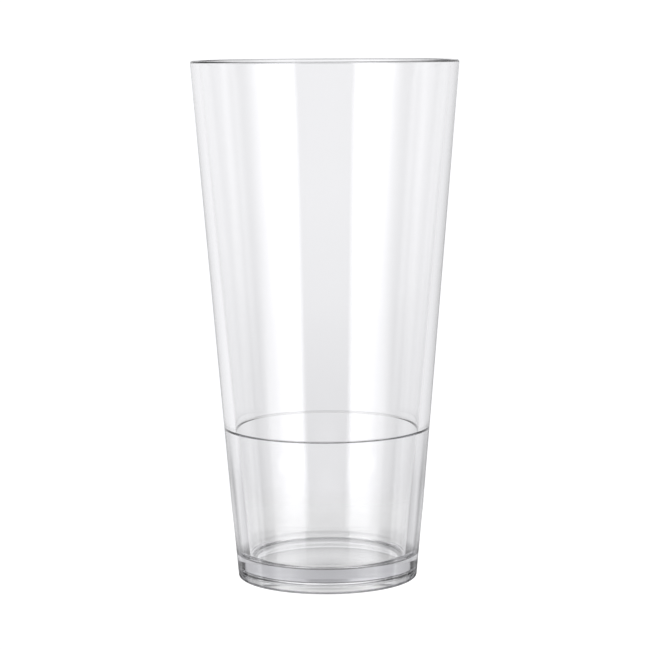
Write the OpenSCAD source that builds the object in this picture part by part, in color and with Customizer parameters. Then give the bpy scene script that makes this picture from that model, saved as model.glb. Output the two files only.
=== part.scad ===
// Tall clear plastic tumbler for parties: one straight-sided conical moulding
// with a drinking lip rounded on both edges, a small sloping stacking ledge
// inside, a thick clear base and a recess underneath that leaves a ring to stand
// on.
//
// The cup is modelled as the seven zones of that moulding. Each zone is a solid
// of revolution about +Z, and neighbours meet face to face on plain rings.
// Millimetres, +Z up, origin at the middle of the face the cup stands on.

/* [Overall] */
// Height from the table to the top of the lip
height = 165; // [150:1:180]
// Outside diameter of the cone where it would reach the top of the lip
rim_d = 84.8; // [82:0.2:90]
// Outside diameter of the cone where it would reach the table
foot_d = 57.8; // [55:0.2:60]

/* [Wall] */
// Wall thickness at the lip, measured level
rim_t = 2.6; // [2:0.1:3.2]
// Radius on both edges of the lip
lip_round = 0.7; // [0.4:0.1:0.9]
// Wall thickness just above the stacking ledge, measured level
ledge_t = 3.4; // [3:0.1:4.2]
// Wall thickness at the floor, measured level
floor_wall_t = 4.3; // [3.8:0.1:5.2]

/* [Stacking ledge] */
// Height of the ledge's outer corner above the table
ledge_h = 48.5; // [40:0.1:60]
// How far the ledge stands in from the wall above it
ledge_w = 0.5; // [0.4:0.05:1]
// How far the ledge slopes down on its way in
ledge_drop = 0.4; // [0.3:0.05:0.8]
// Hollow radius where the wall above runs into the ledge
ledge_hollow_r = 0.9; // [0.3:0.1:1.2]
// Radius on the inner edge of the ledge
ledge_edge_r = 0.15; // [0.1:0.05:0.3]

/* [Base] */
// Height of the inside floor above the table
floor_h = 7.3; // [6:0.1:10]
// Radius where the floor turns up into the wall
floor_fillet = 2.4; // [1.5:0.1:4]
// Depth of the recess under the base
recess_depth = 3.3; // [2.8:0.1:4]
// Diameter of the recess where its wall would reach the table
recess_d = 50; // [46:0.5:51]
// Hollow radius where the recess's wall turns into its ceiling
recess_cove_r = 2; // [1:0.1:2.2]
// Radius on the inner bottom edge of the standing ring
recess_edge_r = 0.8; // [0.4:0.1:0.9]
// Radius on the outer bottom edge
foot_round = 0.7; // [0.4:0.1:0.9]
// How far the foot draws in below the straight cone
foot_relief = 0.25; // [0:0.05:0.4]
// Height below which the foot draws in
relief_h = 24; // [16:1:32]

/* [Hidden] */
$fn = 128;

// Heights at which the zones meet
lip_z = height - 5;
ledge_top_z = ledge_h + 3;
ledge_bot_z = ledge_h - 4;
base_top_z = floor_h + floor_fillet;
ring_top_z = 1.2;

// Outside of the cup: a straight cone that draws in a little near the foot
taper = (rim_d - foot_d) / 2 / height;
foot_taper = taper + foot_relief / relief_h;
function r_out(z) = foot_d / 2 + taper * z - foot_relief * max(0, 1 - z / relief_h);

// Inside above the ledge: the wall thins evenly towards the lip
up_slope = taper - (rim_t - ledge_t) / (height - ledge_h);
ledge_r1 = r_out(ledge_h) - ledge_t;
function r_up(z) = ledge_r1 + up_slope * (z - ledge_h);

// Inside below the ledge: straight from the ledge's inner edge to the floor
ledge_r2 = ledge_r1 - ledge_w;
ledge_low_h = ledge_h - ledge_drop;
floor_r = r_out(floor_h) - floor_wall_t;
low_slope = (ledge_r2 - floor_r) / (ledge_low_h - floor_h);
function r_low(z) = floor_r + low_slope * (z - floor_h);

// Length of a line that climbs 1 and moves out by k, and the angle it leans
function run(k) = sqrt(1 + k * k);
function lean(k) = atan(k);

// Points on an arc round c from angle a0 to angle a1, in degrees
function arc(c, r, a0, a1, n) =
    [for (i = [0:n]) let (a = a0 + (a1 - a0) * i / n) [c[0] + r * cos(a), c[1] + r * sin(a)]];

// Points that round the corner c with radius r, where an outline that runs at
// angle a0 turns to angle a1
function rounded(c, a0, a1, r, n) =
    let (
        t = r * tan(abs(a1 - a0) / 2),
        s = sign(a1 - a0),
        m = [c[0] - t * cos(a0) - s * r * sin(a0), c[1] - t * sin(a0) + s * r * cos(a0)]
    )
    [for (i = [0:n]) let (a = a0 + (a1 - a0) * i / n) [m[0] + s * r * sin(a), m[1] - s * r * cos(a)]];

// Floor fillet: the circle that touches the floor and the lower wall
fil_cz = floor_h + floor_fillet;
fil_cr = r_low(fil_cz) - floor_fillet * run(low_slope);

// Direction in which the outside runs up
out_dir = 90 - lean(taper);

// Directions in which the inside runs down: upper wall, ledge, lower wall
up_dir = -90 - lean(up_slope);
ledge_dir = -180 + atan(ledge_drop / ledge_w);
low_dir = -90 - lean(low_slope);

// Bottom edge: the circle that touches the table and the outside
foot_cz = foot_round;
foot_cr = r_out(foot_cz) - foot_round * run(foot_taper);

// The recess's wall leans so that the base leaves its mould
recess_lean = 0.2;
recess_dir = -90 + lean(recess_lean);
function r_rec(z) = recess_d / 2 - recess_lean * z;

// The floor disc ends just inside the fillet above it and the cove below it
cove_r = r_rec(recess_depth) - recess_cove_r * tan(abs(recess_dir) / 2);
disc_r = min(fil_cr, cove_r) - 0.1;

clear = [0.90, 0.93, 0.95, 0.35];

// A ring between two heights, given its inside and outside at each
module ring(z0, z1, in0, out0, in1, out1)
    rotate_extrude() polygon([[in0, z0], [out0, z0], [out1, z1], [in1, z1]]);

module drinking_lip() color(clear)
    rotate_extrude()
        polygon(concat(
            [[r_up(lip_z), lip_z], [r_out(lip_z), lip_z]],
            rounded([r_out(height), height], out_dir, 180, lip_round, 8),
            rounded([r_up(height), height], 180, 360 + up_dir, lip_round, 8)
        ));

module upper_wall() color(clear)
    ring(ledge_top_z, lip_z, r_up(ledge_top_z), r_out(ledge_top_z), r_up(lip_z), r_out(lip_z));

module stacking_ledge() color(clear)
    rotate_extrude()
        polygon(concat(
            [
                [r_low(ledge_bot_z), ledge_bot_z],
                [r_out(ledge_bot_z), ledge_bot_z],
                [r_out(ledge_top_z), ledge_top_z],
                [r_up(ledge_top_z), ledge_top_z]
            ],
            rounded([ledge_r1, ledge_h], up_dir, ledge_dir, ledge_hollow_r, 6),
            rounded([ledge_r2, ledge_low_h], ledge_dir, low_dir, ledge_edge_r, 4)
        ));

module lower_wall() color(clear)
    rotate_extrude()
        polygon([
            [r_low(base_top_z), base_top_z],
            [r_out(base_top_z), base_top_z],
            [r_out(relief_h), relief_h],
            [r_out(ledge_bot_z), ledge_bot_z],
            [r_low(ledge_bot_z), ledge_bot_z]
        ]);

module base_corner() color(clear)
    rotate_extrude()
        polygon(concat(
            [[disc_r, recess_depth]],
            rounded([r_rec(recess_depth), recess_depth], 0, recess_dir, recess_cove_r, 8),
            [
                [r_rec(ring_top_z), ring_top_z],
                [r_out(ring_top_z), ring_top_z],
                [r_out(base_top_z), base_top_z],
                [r_low(base_top_z), base_top_z]
            ],
            arc([fil_cr, fil_cz], floor_fillet, -lean(low_slope), -90, 12),
            [[disc_r, floor_h]]
        ));

module thick_base() color(clear)
    translate([0, 0, recess_depth]) cylinder(r = disc_r, h = floor_h - recess_depth);

module foot_ring() color(clear)
    rotate_extrude()
        polygon(concat(
            [[r_rec(ring_top_z), ring_top_z]],
            rounded([r_rec(0), 0], recess_dir, 0, recess_edge_r, 6),
            arc([foot_cr, foot_cz], foot_round, -90, -lean(foot_taper), 8),
            [[r_out(ring_top_z), ring_top_z]]
        ));

drinking_lip();
upper_wall();
stacking_ledge();
lower_wall();
base_corner();
thick_base();
foot_ring();
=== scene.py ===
"""Looks of a tall clear plastic tumbler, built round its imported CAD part."""

import math

import bpy
from mathutils import Matrix, Vector


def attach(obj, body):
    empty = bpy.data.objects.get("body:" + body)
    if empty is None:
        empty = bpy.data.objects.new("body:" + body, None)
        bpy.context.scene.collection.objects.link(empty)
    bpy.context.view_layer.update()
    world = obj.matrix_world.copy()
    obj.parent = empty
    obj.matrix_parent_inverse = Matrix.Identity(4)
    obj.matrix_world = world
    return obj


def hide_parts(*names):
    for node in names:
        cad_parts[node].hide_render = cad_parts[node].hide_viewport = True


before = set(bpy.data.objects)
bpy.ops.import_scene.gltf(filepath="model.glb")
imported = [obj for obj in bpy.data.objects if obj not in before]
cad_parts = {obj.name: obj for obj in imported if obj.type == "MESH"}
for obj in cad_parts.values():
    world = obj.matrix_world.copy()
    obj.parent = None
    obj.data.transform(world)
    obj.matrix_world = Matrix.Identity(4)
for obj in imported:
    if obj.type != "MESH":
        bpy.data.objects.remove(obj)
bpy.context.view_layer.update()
scene = bpy.context.scene

# ---------------------------------------------------------------- dimensions
# The CAD part's own measures, in metres.
MM = 0.001
HEIGHT = 165 * MM
RIM_D, FOOT_D = 84.8 * MM, 57.8 * MM
RIM_T, LEDGE_T, FLOOR_WALL_T = 2.6 * MM, 3.4 * MM, 4.3 * MM
LIP_ROUND = 0.7 * MM
LEDGE_H, LEDGE_W, LEDGE_DROP = 48.5 * MM, 0.5 * MM, 0.4 * MM
LEDGE_HOLLOW_R, LEDGE_EDGE_R = 0.9 * MM, 0.15 * MM
FLOOR_H, FLOOR_FILLET = 7.3 * MM, 2.4 * MM
RECESS_DEPTH, RECESS_D, RECESS_LEAN = 3.3 * MM, 50 * MM, 0.2
RECESS_COVE_R, RECESS_EDGE_R = 2.0 * MM, 0.8 * MM
FOOT_ROUND, FOOT_RELIEF, RELIEF_H = 0.7 * MM, 0.25 * MM, 24 * MM
SEGMENTS = 288

TAPER = (RIM_D - FOOT_D) / 2 / HEIGHT
FOOT_TAPER = TAPER + FOOT_RELIEF / RELIEF_H


def run(k):
    return math.sqrt(1 + k * k)


def r_out(z):
    """Outside radius. The bend where the foot draws in is eased over 16 mm."""
    ease = 8 * MM
    t = RELIEF_H - z
    if t <= -ease:
        draw = 0.0
    elif t >= ease:
        draw = t
    else:
        draw = (t + ease) ** 2 / (4 * ease)
    return FOOT_D / 2 + TAPER * z - FOOT_RELIEF / RELIEF_H * draw


UP_SLOPE = TAPER - (RIM_T - LEDGE_T) / (HEIGHT - LEDGE_H)
LEDGE_R1 = r_out(LEDGE_H) - LEDGE_T
LEDGE_R2 = LEDGE_R1 - LEDGE_W
LEDGE_LOW_H = LEDGE_H - LEDGE_DROP
FLOOR_R = r_out(FLOOR_H) - FLOOR_WALL_T
LOW_SLOPE = (LEDGE_R2 - FLOOR_R) / (LEDGE_LOW_H - FLOOR_H)


def r_up(z):
    return LEDGE_R1 + UP_SLOPE * (z - LEDGE_H)


def r_low(z):
    return FLOOR_R + LOW_SLOPE * (z - FLOOR_H)


# ---------------------------------------------------------------- profile
# One closed outline from the middle of the underside, out round the foot, up
# the outside, over the lip, down the inside and back to the middle of the
# floor. Every row is (radius, height, normal's radial part, normal's upward part).
outline = []


def put(r, z, nr, nz):
    if outline and math.hypot(r - outline[-1][0], z - outline[-1][1]) < 1e-7:
        return
    n = math.hypot(nr, nz)
    outline.append((r, z, nr / n, nz / n))


def arc(cr, cz, radius, a0, a1, steps, side=1):
    """Points on an arc from angle a0 to a1, in degrees; side -1 is a hollow."""
    for i in range(steps + 1):
        a = math.radians(a0 + (a1 - a0) * i / steps)
        put(
            cr + radius * math.cos(a),
            cz + radius * math.sin(a),
            side * math.cos(a),
            side * math.sin(a),
        )


def steps_between(a, b, longest):
    n = max(1, math.ceil(abs(b - a) / longest))
    return [a + (b - a) * i / n for i in range(n + 1)]


def lean(k):
    return math.degrees(math.atan(k))


def rounded(r, z, a0, a1, radius, steps):
    """Rounds the corner (r, z) where the outline turns from heading a0 to a1.

    The solid lies to the left of the heading, so a left turn is a bulge and a
    right turn is a hollow.
    """
    side = 1 if a1 > a0 else -1
    t = radius * math.tan(math.radians(abs(a1 - a0) / 2))
    h = math.radians(a0)
    cr = r - t * math.cos(h) - side * radius * math.sin(h)
    cz = z - t * math.sin(h) + side * radius * math.cos(h)
    arc(cr, cz, radius, a0 - 90 * side, a1 - 90 * side, steps, side)


# Underside: the recess's ceiling, the cove, the leaning wall and the ring's
# rounded inner edge.
rec_head = -90 + lean(RECESS_LEAN)
rec_top_r = RECESS_D / 2 - RECESS_LEAN * RECESS_DEPTH
cove_t = RECESS_COVE_R * math.tan(math.radians(abs(rec_head) / 2))
for r in steps_between(0.0, rec_top_r - cove_t, 2 * MM):
    put(r, RECESS_DEPTH, 0, -1)
rounded(rec_top_r, RECESS_DEPTH, 0, rec_head, RECESS_COVE_R, 14)
rounded(RECESS_D / 2, 0.0, rec_head, 0, RECESS_EDGE_R, 10)
foot_cr = r_out(FOOT_ROUND) - FOOT_ROUND * run(FOOT_TAPER)
for r in steps_between(outline[-1][0], foot_cr, 1.2 * MM):
    put(r, 0.0, 0, -1)
arc(foot_cr, FOOT_ROUND, FOOT_ROUND, -90, -lean(FOOT_TAPER), 14)

# Outside of the wall.
out_head, up_head, low_head = 90 - lean(TAPER), 270 - lean(UP_SLOPE), 270 - lean(LOW_SLOPE)
z_a = FOOT_ROUND * (1 - math.sin(math.atan(FOOT_TAPER)))
z_b = HEIGHT - LIP_ROUND * math.tan(math.radians((180 - out_head) / 2)) / run(TAPER)
for z in steps_between(z_a, z_b, 2 * MM):
    k = (r_out(z + 1e-5) - r_out(z - 1e-5)) / 2e-5
    put(r_out(z), z, 1, -k)

# Lip, then down the inside and over the ledge.
rounded(r_out(HEIGHT), HEIGHT, out_head, 180, LIP_ROUND, 20)
rounded(r_up(HEIGHT), HEIGHT, 180, up_head, LIP_ROUND, 20)
ledge_head = 180 + math.degrees(math.atan2(LEDGE_DROP, LEDGE_W))
z_c = outline[-1][1]
z_l = LEDGE_H + LEDGE_HOLLOW_R * math.tan(math.radians((up_head - ledge_head) / 2))
for z in steps_between(z_c, z_l, 2 * MM):
    put(r_up(z), z, -1, UP_SLOPE)
rounded(LEDGE_R1, LEDGE_H, up_head, ledge_head, LEDGE_HOLLOW_R, 12)
rounded(LEDGE_R2, LEDGE_LOW_H, ledge_head, low_head, LEDGE_EDGE_R, 8)

# Lower wall, floor fillet and floor.
fil_cz = FLOOR_H + FLOOR_FILLET
fil_cr = r_low(fil_cz) - FLOOR_FILLET * run(LOW_SLOPE)
z_e = fil_cz - FLOOR_FILLET * math.sin(math.atan(LOW_SLOPE))
for z in steps_between(outline[-1][1], z_e, 2 * MM):
    put(r_low(z), z, -1, LOW_SLOPE)
arc(fil_cr, fil_cz, FLOOR_FILLET, -lean(LOW_SLOPE), -90, 20, side=-1)
for r in steps_between(fil_cr, 0.0, 2 * MM):
    put(r, FLOOR_H, 0, 1)


# ---------------------------------------------------------------- the moulding
def revolve(name, rows, segments):
    """A closed surface of revolution with the outline's exact normals."""
    verts, normals, faces, rings = [], [], [], []
    for r, z, nr, nz in rows:
        if r < 1e-9:
            rings.append([len(verts)])
            verts.append((0.0, 0.0, z))
            normals.append((0.0, 0.0, nz))
            continue
        ring = []
        for s in range(segments):
            a = 2 * math.pi * s / segments
            c, d = math.cos(a), math.sin(a)
            ring.append(len(verts))
            verts.append((r * c, r * d, z))
            normals.append((nr * c, nr * d, nz))
        rings.append(ring)
    for low, high in zip(rings, rings[1:]):
        for s in range(segments):
            t = (s + 1) % segments
            if len(low) == 1:
                faces.append((low[0], high[t], high[s]))
            elif len(high) == 1:
                faces.append((low[s], low[t], high[0]))
            else:
                faces.append((low[s], low[t], high[t], high[s]))
    mesh = bpy.data.meshes.new(name)
    mesh.from_pydata(verts, [], faces)
    mesh.polygons.foreach_set("use_smooth", [True] * len(mesh.polygons))
    mesh.normals_split_custom_set_from_vertices(normals)
    mesh.update()
    obj = bpy.data.objects.new(name, mesh)
    scene.collection.objects.link(obj)
    return obj


cup = revolve("cup_moulding", outline, SEGMENTS)

# ---------------------------------------------------------------- materials


class Graph:
    """Short hands for a shader node tree."""

    def __init__(self, tree):
        self.tree = tree
        tree.nodes.clear()

    def node(self, kind, **values):
        n = self.tree.nodes.new(kind)
        for key, value in values.items():
            setattr(n, key, value)
        return n

    def feed(self, socket, value):
        if isinstance(value, (int, float)):
            socket.default_value = value
        else:
            self.tree.links.new(value, socket)

    def math(self, op, a, b=0.0, c=0.0):
        n = self.node("ShaderNodeMath", operation=op)
        for socket, value in zip(n.inputs, (a, b, c)):
            self.feed(socket, value)
        return n.outputs[0]

    def mix(self, t, a, b):
        """a where t is 0, b where t is 1."""
        return self.math("ADD", self.math("MULTIPLY", a, self.math("SUBTRACT", 1.0, t)), self.math("MULTIPLY", b, t))

    def curve(self, x, lo, hi, stops):
        """A smooth curve through the stops (x, value), for x from lo to hi."""
        span = self.node("ShaderNodeMapRange")
        for socket, value in zip(span.inputs[:5], (x, lo, hi, 0.0, 1.0)):
            self.feed(socket, value)
        ramp = self.node("ShaderNodeValToRGB")
        ramp.color_ramp.interpolation = "EASE"
        elements = ramp.color_ramp.elements
        while len(elements) > 1:
            elements.remove(elements[-1])
        top = max(v for _, v in stops)
        for i, (q, v) in enumerate(stops):
            at = (q - lo) / (hi - lo)
            e = elements[0] if i == 0 else elements.new(at)
            e.position = at
            e.color = (v / top, v / top, v / top, 1)
        self.tree.links.new(span.outputs[0], ramp.inputs[0])
        return self.math("MULTIPLY", ramp.outputs["Color"], top)


def clear_plastic():
    """Clear moulded plastic: faint flow waves, a fine haze and hairline marks."""
    mat = bpy.data.materials.new("clear_plastic")
    mat.use_nodes = True
    g = Graph(mat.node_tree)
    out = g.node("ShaderNodeOutputMaterial")
    bsdf = g.node("ShaderNodeBsdfPrincipled")
    bsdf.inputs["Base Color"].default_value = (1.0, 1.0, 1.0, 1.0)
    bsdf.inputs["Transmission Weight"].default_value = 1.0
    bsdf.inputs["IOR"].default_value = 1.57
    place = g.node("ShaderNodeTexCoord").outputs["Object"]
    # Flow waves: long along the cup, where the plastic ran up the mould.
    flow = g.node("ShaderNodeMapping")
    flow.inputs["Scale"].default_value = (1.0, 1.0, 0.3)
    g.tree.links.new(place, flow.inputs["Vector"])
    wave = g.node("ShaderNodeTexNoise")
    wave.inputs["Scale"].default_value = 55.0
    wave.inputs["Detail"].default_value = 1.0
    g.tree.links.new(flow.outputs[0], wave.inputs["Vector"])
    bump = g.node("ShaderNodeBump")
    bump.inputs["Strength"].default_value = 1.0
    bump.inputs["Distance"].default_value = WAVE_HEIGHT
    g.tree.links.new(wave.outputs["Fac"], bump.inputs["Height"])
    g.tree.links.new(bump.outputs["Normal"], bsdf.inputs["Normal"])
    # Haze: almost none, with hairline marks from handling that run round the cup.
    hair = g.node("ShaderNodeMapping")
    hair.inputs["Scale"].default_value = (14.0, 14.0, 420.0)
    g.tree.links.new(place, hair.inputs["Vector"])
    mark = g.node("ShaderNodeTexNoise")
    mark.inputs["Scale"].default_value = 4.0
    mark.inputs["Detail"].default_value = 3.0
    g.tree.links.new(hair.outputs[0], mark.inputs["Vector"])
    patch = g.node("ShaderNodeTexNoise")
    patch.inputs["Scale"].default_value = 38.0
    patch.inputs["Detail"].default_value = 2.0
    g.tree.links.new(place, patch.inputs["Vector"])
    scuff = g.math("MULTIPLY", g.curve(mark.outputs["Fac"], 0.0, 1.0, [(0.0, 0.0), (0.66, 0.0), (0.72, 1.0), (1.0, 1.0)]), g.curve(patch.outputs["Fac"], 0.0, 1.0, [(0.0, 0.0), (0.52, 0.0), (0.62, 1.0), (1.0, 1.0)]))
    g.tree.links.new(g.math("MULTIPLY_ADD", scuff, 0.07, 0.004), bsdf.inputs["Roughness"])
    g.tree.links.new(bsdf.outputs["BSDF"], out.inputs["Surface"])
    # The plastic's own faint blue-grey, which shows where it is thick.
    absorb = g.node("ShaderNodeVolumeAbsorption")
    absorb.inputs["Color"].default_value = (0.0, 0.0, 0.12, 1.0)
    absorb.inputs["Density"].default_value = 5.0
    g.tree.links.new(absorb.outputs["Volume"], out.inputs["Volume"])
    return mat


WAVE_HEIGHT = 0.004 * MM
cup.data.materials.append(clear_plastic())
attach(cup, "root")
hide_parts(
    "drinking_lip",
    "upper_wall",
    "stacking_ledge",
    "lower_wall",
    "base_corner",
    "thick_base",
    "foot_ring",
)

# ---------------------------------------------------------------- stage


# A round pale floor. Camera rays see it glow evenly white; to other rays its glow is painted light and
# shade: a painted shadow of the cup, darkest in a ring at the foot's edge, a painted brighter patch under the base,
# lighter further out.
FLOOR_RADIUS = 0.147
N_FLOOR = 128
floor_mesh = bpy.data.meshes.new("floor")
floor_mesh.from_pydata(
    [
        (
            FLOOR_RADIUS * math.cos(2 * math.pi * i / N_FLOOR),
            FLOOR_RADIUS * math.sin(2 * math.pi * i / N_FLOOR),
            0.0,
        )
        for i in range(N_FLOOR)
    ],
    [],
    [tuple(range(N_FLOOR))],
)
floor = bpy.data.objects.new("floor", floor_mesh)
floor.location.z = -0.05 * MM
scene.collection.objects.link(floor)
floor_mat = bpy.data.materials.new("pale_floor")
floor_mat.use_nodes = True
fg = Graph(floor_mat.node_tree)
f_out = fg.node("ShaderNodeOutputMaterial")
f_bsdf = fg.node("ShaderNodeBsdfPrincipled")
f_bsdf.inputs["Base Color"].default_value = (0.2, 0.2, 0.2, 1)
f_bsdf.inputs["Roughness"].default_value = 0.9
f_bsdf.inputs["Specular IOR Level"].default_value = 0.0
f_bsdf.inputs["Emission Color"].default_value = (1, 1, 1, 1)
f_far = fg.node("ShaderNodeVectorMath", operation="LENGTH")
fg.tree.links.new(fg.node("ShaderNodeTexCoord").outputs["Object"], f_far.inputs[0])
# Painted shade and light: the floor's glow by distance from the middle, dimmed round the foot as a painted contact
# shadow.
f_painted_shade_glow = fg.curve(
    f_far.outputs["Value"],
    0.0,
    0.15,
    [
        (0.0, 0.38), (0.004, 0.42), (0.009, 0.56), (0.014, 0.64), (0.019, 0.55), (0.0245, 0.36), (0.0262, 0.1), (0.0282, 0.12), (0.0305, 0.42),
        (0.034, 0.44), (0.042, 0.34), (0.048, 0.34), (0.062, 0.46), (0.08, 0.51), (0.12, 0.575), (0.15, 0.585),
    ],
)
f_path = fg.node("ShaderNodeLightPath")
# Camera rays get an even glow of 1; all other rays get the painted shade above.
fg.tree.links.new(fg.mix(f_path.outputs["Is Camera Ray"], f_painted_shade_glow, 1.0), f_bsdf.inputs["Emission Strength"])
# It fades out into the backdrop, and rays that a face of the cup has mirrored
# go on to the studio's own table.
f_clear = fg.node("ShaderNodeBsdfTransparent")
f_mix = fg.node("ShaderNodeMixShader")
f_fade = fg.curve(f_far.outputs["Value"], 0.0, 0.15, [(0.0, 0.0), (0.085, 0.0), (0.143, 1.0), (0.15, 1.0)])
f_pass = fg.math("MAXIMUM", fg.math("GREATER_THAN", f_path.outputs["Glossy Depth"], 0.5), f_fade)
fg.tree.links.new(f_pass, f_mix.inputs["Fac"])
fg.tree.links.new(f_bsdf.outputs["BSDF"], f_mix.inputs[1])
fg.tree.links.new(f_clear.outputs["BSDF"], f_mix.inputs[2])
fg.tree.links.new(f_mix.outputs["Shader"], f_out.inputs["Surface"])
floor.data.materials.append(floor_mat)

# The studio, by azimuth (0 towards the camera, + to its right) and elevation
# in degrees: a white backdrop seen through the cup, and the soft boxes and dim
# gaps between them that its faces mirror.
world = bpy.data.worlds.new("studio")
scene.world = world
world.use_nodes = True
wg = Graph(world.node_tree)
w_out = wg.node("ShaderNodeOutputWorld")
w_bg = wg.node("ShaderNodeBackground")
split = wg.node("ShaderNodeSeparateXYZ")
wg.tree.links.new(wg.node("ShaderNodeTexCoord").outputs["Generated"], split.inputs[0])
dx, dy, dz = split.outputs
DEG = 180 / math.pi
az = wg.math("MULTIPLY", wg.math("ARCTAN2", dx, wg.math("MULTIPLY", dy, -1.0)), DEG)
el = wg.math("MULTIPLY", wg.math("ARCSINE", dz), DEG)
away = wg.math("ABSOLUTE", az)
behind = wg.math("SUBTRACT", 180.0, away)

# Backdrop: white, falling off towards the table and a little to the sides.
back_el = wg.curve(
    el,
    -90,
    90,
    [
        (-90, 0.4), (-14, 0.66), (-12, 0.79), (-11, 0.82), (-9.5, 0.85), (-8.5, 0.885),
        (-6.5, 0.955), (-4, 0.99), (0, 1.0), (90, 1.0),
    ],
)
back_az = wg.curve(behind, 0, 180, [(0, 1.0), (6, 1.0), (10.5, 0.93), (15, 1.0), (180, 1.0)])
roll_zone = wg.curve(behind, 0, 180, [(0, 1.0), (26, 1.0), (40, 0.0), (180, 0.0)])
backdrop = wg.mix(roll_zone, 1.0, wg.math("MULTIPLY", back_el, back_az))

# Soft boxes: a wide one on each side of the camera, a slim one at each side,
# dim gaps between them, and a dim band above them below a light ceiling.
boxes = wg.curve(
    az,
    -180,
    180,
    [
        (-180, 0.76), (-165, 0.93), (-150, 0.95), (-128, 1.0), (-118, 0.9), (-104, 0.9),
        (-97, 1.4), (-91, 0.42), (-76, 0.4), (-62, 1.6), (-50, 2.0),
        (50, 2.0), (60, 1.6), (76, 0.4), (91, 0.42), (97, 1.25),
        (104, 0.85), (112, 0.8), (122, 0.78), (131, 0.9), (150, 0.88), (165, 0.75), (180, 0.76),
    ],
)
box_el = wg.curve(el, -90, 90, [
        (-90, 0.22), (-33, 0.25), (-29.5, 0.7), (-25, 0.9), (-23.5, 0.6), (-23.0, 1.1), (-22.6, 1.6), (-20.7, 1.6), (-19, 1.35),
        (-16, 1.0), (18, 1.0), (21, 0.28), (36, 0.28), (48, 1.0), (90, 1.0),
    ])
far_low = wg.math("MULTIPLY_ADD", wg.curve(behind, 0, 180, [(0, 1.0), (18, 1.0), (28, 0.0), (180, 0.0)]), -1.6, el)
far_el = wg.curve(
    far_low,
    -90,
    90,
    [(-90, 0.22), (-24, 0.3), (-18, 0.26), (-17, 0.3), (-16, 0.36), (-15.6, 0.4), (-15.2, 0.5), (-14.9, 0.6), (-14.7, 0.72), (-14.4, 0.84), (-13.6, 0.92), (-9.5, 0.93), (-6.5, 0.95), (-4, 0.97), (0, 1.0), (18, 1.0), (21, 0.28), (36, 0.28), (48, 1.0), (90, 1.0)],
)
far_zone = wg.curve(behind, 0, 180, [(0, 1.0), (24, 1.0), (34, 0.0), (180, 0.0)])
boxes = wg.math("MULTIPLY", boxes, wg.mix(far_zone, box_el, far_el))
# The wide boxes spread low down, and far to the sides the light ends there.
spread = wg.math(
    "MULTIPLY",
    wg.curve(away, 0, 180, [(0, 0.0), (58, 0.0), (66, 1.0), (72, 1.0), (82, 0.0), (180, 0.0)]),
    wg.curve(el, -90, 90, [(-90, 0.0), (-24.5, 0.2), (-22.9, 0.8), (-17.5, 0.8), (-14, 0.0), (90, 0.0)]),
)
boxes = wg.math("ADD", boxes, spread)
low_zone = wg.curve(away, 0, 180, [(0, 0.0), (126, 0.0), (131, 1.0), (144, 1.0), (150, 0.0), (180, 0.0)])
low = wg.curve(el, -90, 90, [(-90, 0.6), (-26, 0.8), (-24, 0.3), (-23, 0.05), (-22, 0.05), (-21.4, 0.45), (-20.8, 0.75), (-19.5, 0.9), (-18.3, 0.65), (-17.3, 0.5), (-16.5, 0.7), (-15.8, 0.9), (-15.3, 1.0), (90, 1.0)])
boxes = wg.math("MULTIPLY", boxes, wg.mix(low_zone, 1.0, low))
# A dim spot low down straight behind the cup.
spot = wg.math(
    "MULTIPLY",
    wg.curve(behind, 0, 180, [(0, 0.35), (7, 0.35), (12, 0.0), (180, 0.0)]),
    wg.curve(el, -90, 90, [(-90, 0.0), (-11, 0.0), (-9, 1.0), (-4.5, 1.0), (-2.5, 0.0), (90, 0.0)]),
)
boxes = wg.math("MULTIPLY", boxes, wg.math("SUBTRACT", 1.0, spot))
# Where the lower wall mirrors the table's edge: the wide boxes end in a bright
# strip, and at the sides there is a thin dark strip.
wall_el = wg.math("MULTIPLY_ADD", wg.math("COSINE", wg.math("MULTIPLY", away, 0.5 / DEG)), 10.55, el)
hot = wg.curve(wall_el, -20, 0, [
        (-20, 1.0), (-12.2, 1.0), (-12.1, 1.2), (-12.0, 1.5), (-11.87, 1.5), (-11.75, 1.25), (-11.6, 1.0), (0, 1.0),
    ])
hot_zone = wg.curve(away, 0, 180, [(0, 1.0), (60, 1.0), (68, 0.0), (180, 0.0)])
dark = wg.curve(wall_el, -20, 0, [
        (-20, 0.7), (-13.15, 0.7), (-13.05, 0.35), (-12.88, 0.35), (-12.78, 0.6), (-12.66, 1.0), (0, 1.0),
    ])
dark_zone = wg.curve(away, 0, 180, [(0, 0.0), (126, 0.0), (131, 1.0), (158, 1.0), (164, 0.0), (180, 0.0)])
boxes = wg.math("MULTIPLY", boxes, wg.math("MULTIPLY", wg.mix(hot_zone, 1.0, hot), wg.mix(dark_zone, 1.0, dark)))
# The gap behind the camera, darkest where the table ends.
gap_zone = wg.curve(away, 0, 180, [(0, 1.0), (25, 1.0), (28.5, 0.0), (180, 0.0)])
gap_el = wg.math("MULTIPLY_ADD", wg.math("MULTIPLY", away, away), 0.002, el)
gap = wg.curve(gap_el, -90, 90, [
        (-90, 0.25), (-34, 0.28), (-27, 0.7), (-24, 1.4), (-22.7, 1.7), (-20.7, 1.6), (-20.2, 1.3), (-19.5, 0.66), (-17, 0.66),
        (-14, 0.6), (-10, 0.5), (10, 0.5), (18, 0.5), (36, 0.45), (48, 1.0), (90, 1.0),
    ])
mirrored = wg.mix(gap_zone, boxes, gap)
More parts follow.
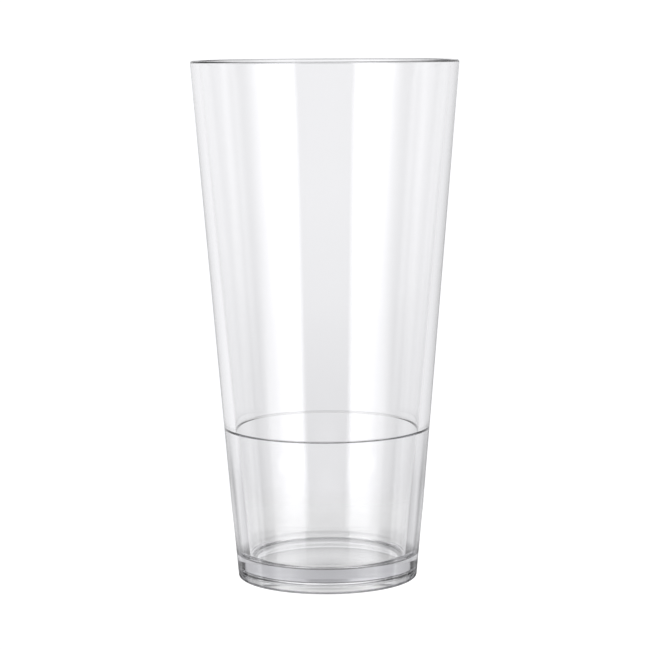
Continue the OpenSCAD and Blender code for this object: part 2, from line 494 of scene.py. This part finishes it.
# Just above the horizon, which the base mirrors: a dim strip all round, with
# a slim black panel at each side.
strip_zone = wg.curve(el, -90, 90, [(-90, 0.0), (7, 0.0), (9.5, 1.0), (15.5, 1.0), (19, 0.0), (90, 0.0)])
strip = wg.curve(
    away,
    0,
    180,
    [(0, 0.6), (90, 0.6), (95, 0.01), (118, 0.01), (121, 0.56), (142, 0.68), (165, 0.62), (180, 0.58)],
)
mirrored = wg.mix(strip_zone, mirrored, strip)

path = wg.node("ShaderNodeLightPath")
bounced = wg.math("GREATER_THAN", path.outputs["Glossy Depth"], 0.5)
# Through the cup, the room above the backdrop is dim. The table still gets
# its light in full.
above = wg.curve(el, -90, 90, [(-90, 1.0), (9, 1.0), (15, 0.4), (90, 0.4)])
above = wg.mix(path.outputs["Is Diffuse Ray"], above, 1.0)
studio = wg.mix(bounced, wg.math("MULTIPLY", backdrop, above), mirrored)
strength = wg.mix(path.outputs["Is Camera Ray"], studio, 1.1)
w_bg.inputs["Color"].default_value = (0.983, 0.983, 1.0, 1)
wg.tree.links.new(strength, w_bg.inputs["Strength"])
wg.tree.links.new(w_bg.outputs[0], w_out.inputs["Surface"])

scene.view_settings.view_transform = "Standard"
scene.view_settings.look = "None"
scene.cycles.max_bounces = 24
scene.cycles.transmission_bounces = 20
scene.cycles.glossy_bounces = 12
scene.cycles.blur_glossy = 0.0

# ---------------------------------------------------------------- camera
FOCAL_PX, FRAME_PX = 2380.0, 650.0
cam_data = bpy.data.cameras.new("camera")
cam_data.sensor_fit = "HORIZONTAL"
cam_data.sensor_width = 36.0
cam_data.lens = 36.0 * FOCAL_PX / FRAME_PX
cam_data.clip_start, cam_data.clip_end = 0.01, 50.0
cam = bpy.data.objects.new("camera", cam_data)
scene.collection.objects.link(cam)
pitch, roll = math.radians(7.07), math.radians(-0.36)
cam.matrix_world = (
    Matrix.Translation(Vector((-0.0004, -0.753, 0.1744)))
    @ Matrix.Rotation(math.pi / 2 - pitch, 4, "X")
    @ Matrix.Rotation(roll, 4, "Z")
)
scene.camera = cam

bpy.context.view_layer.update()
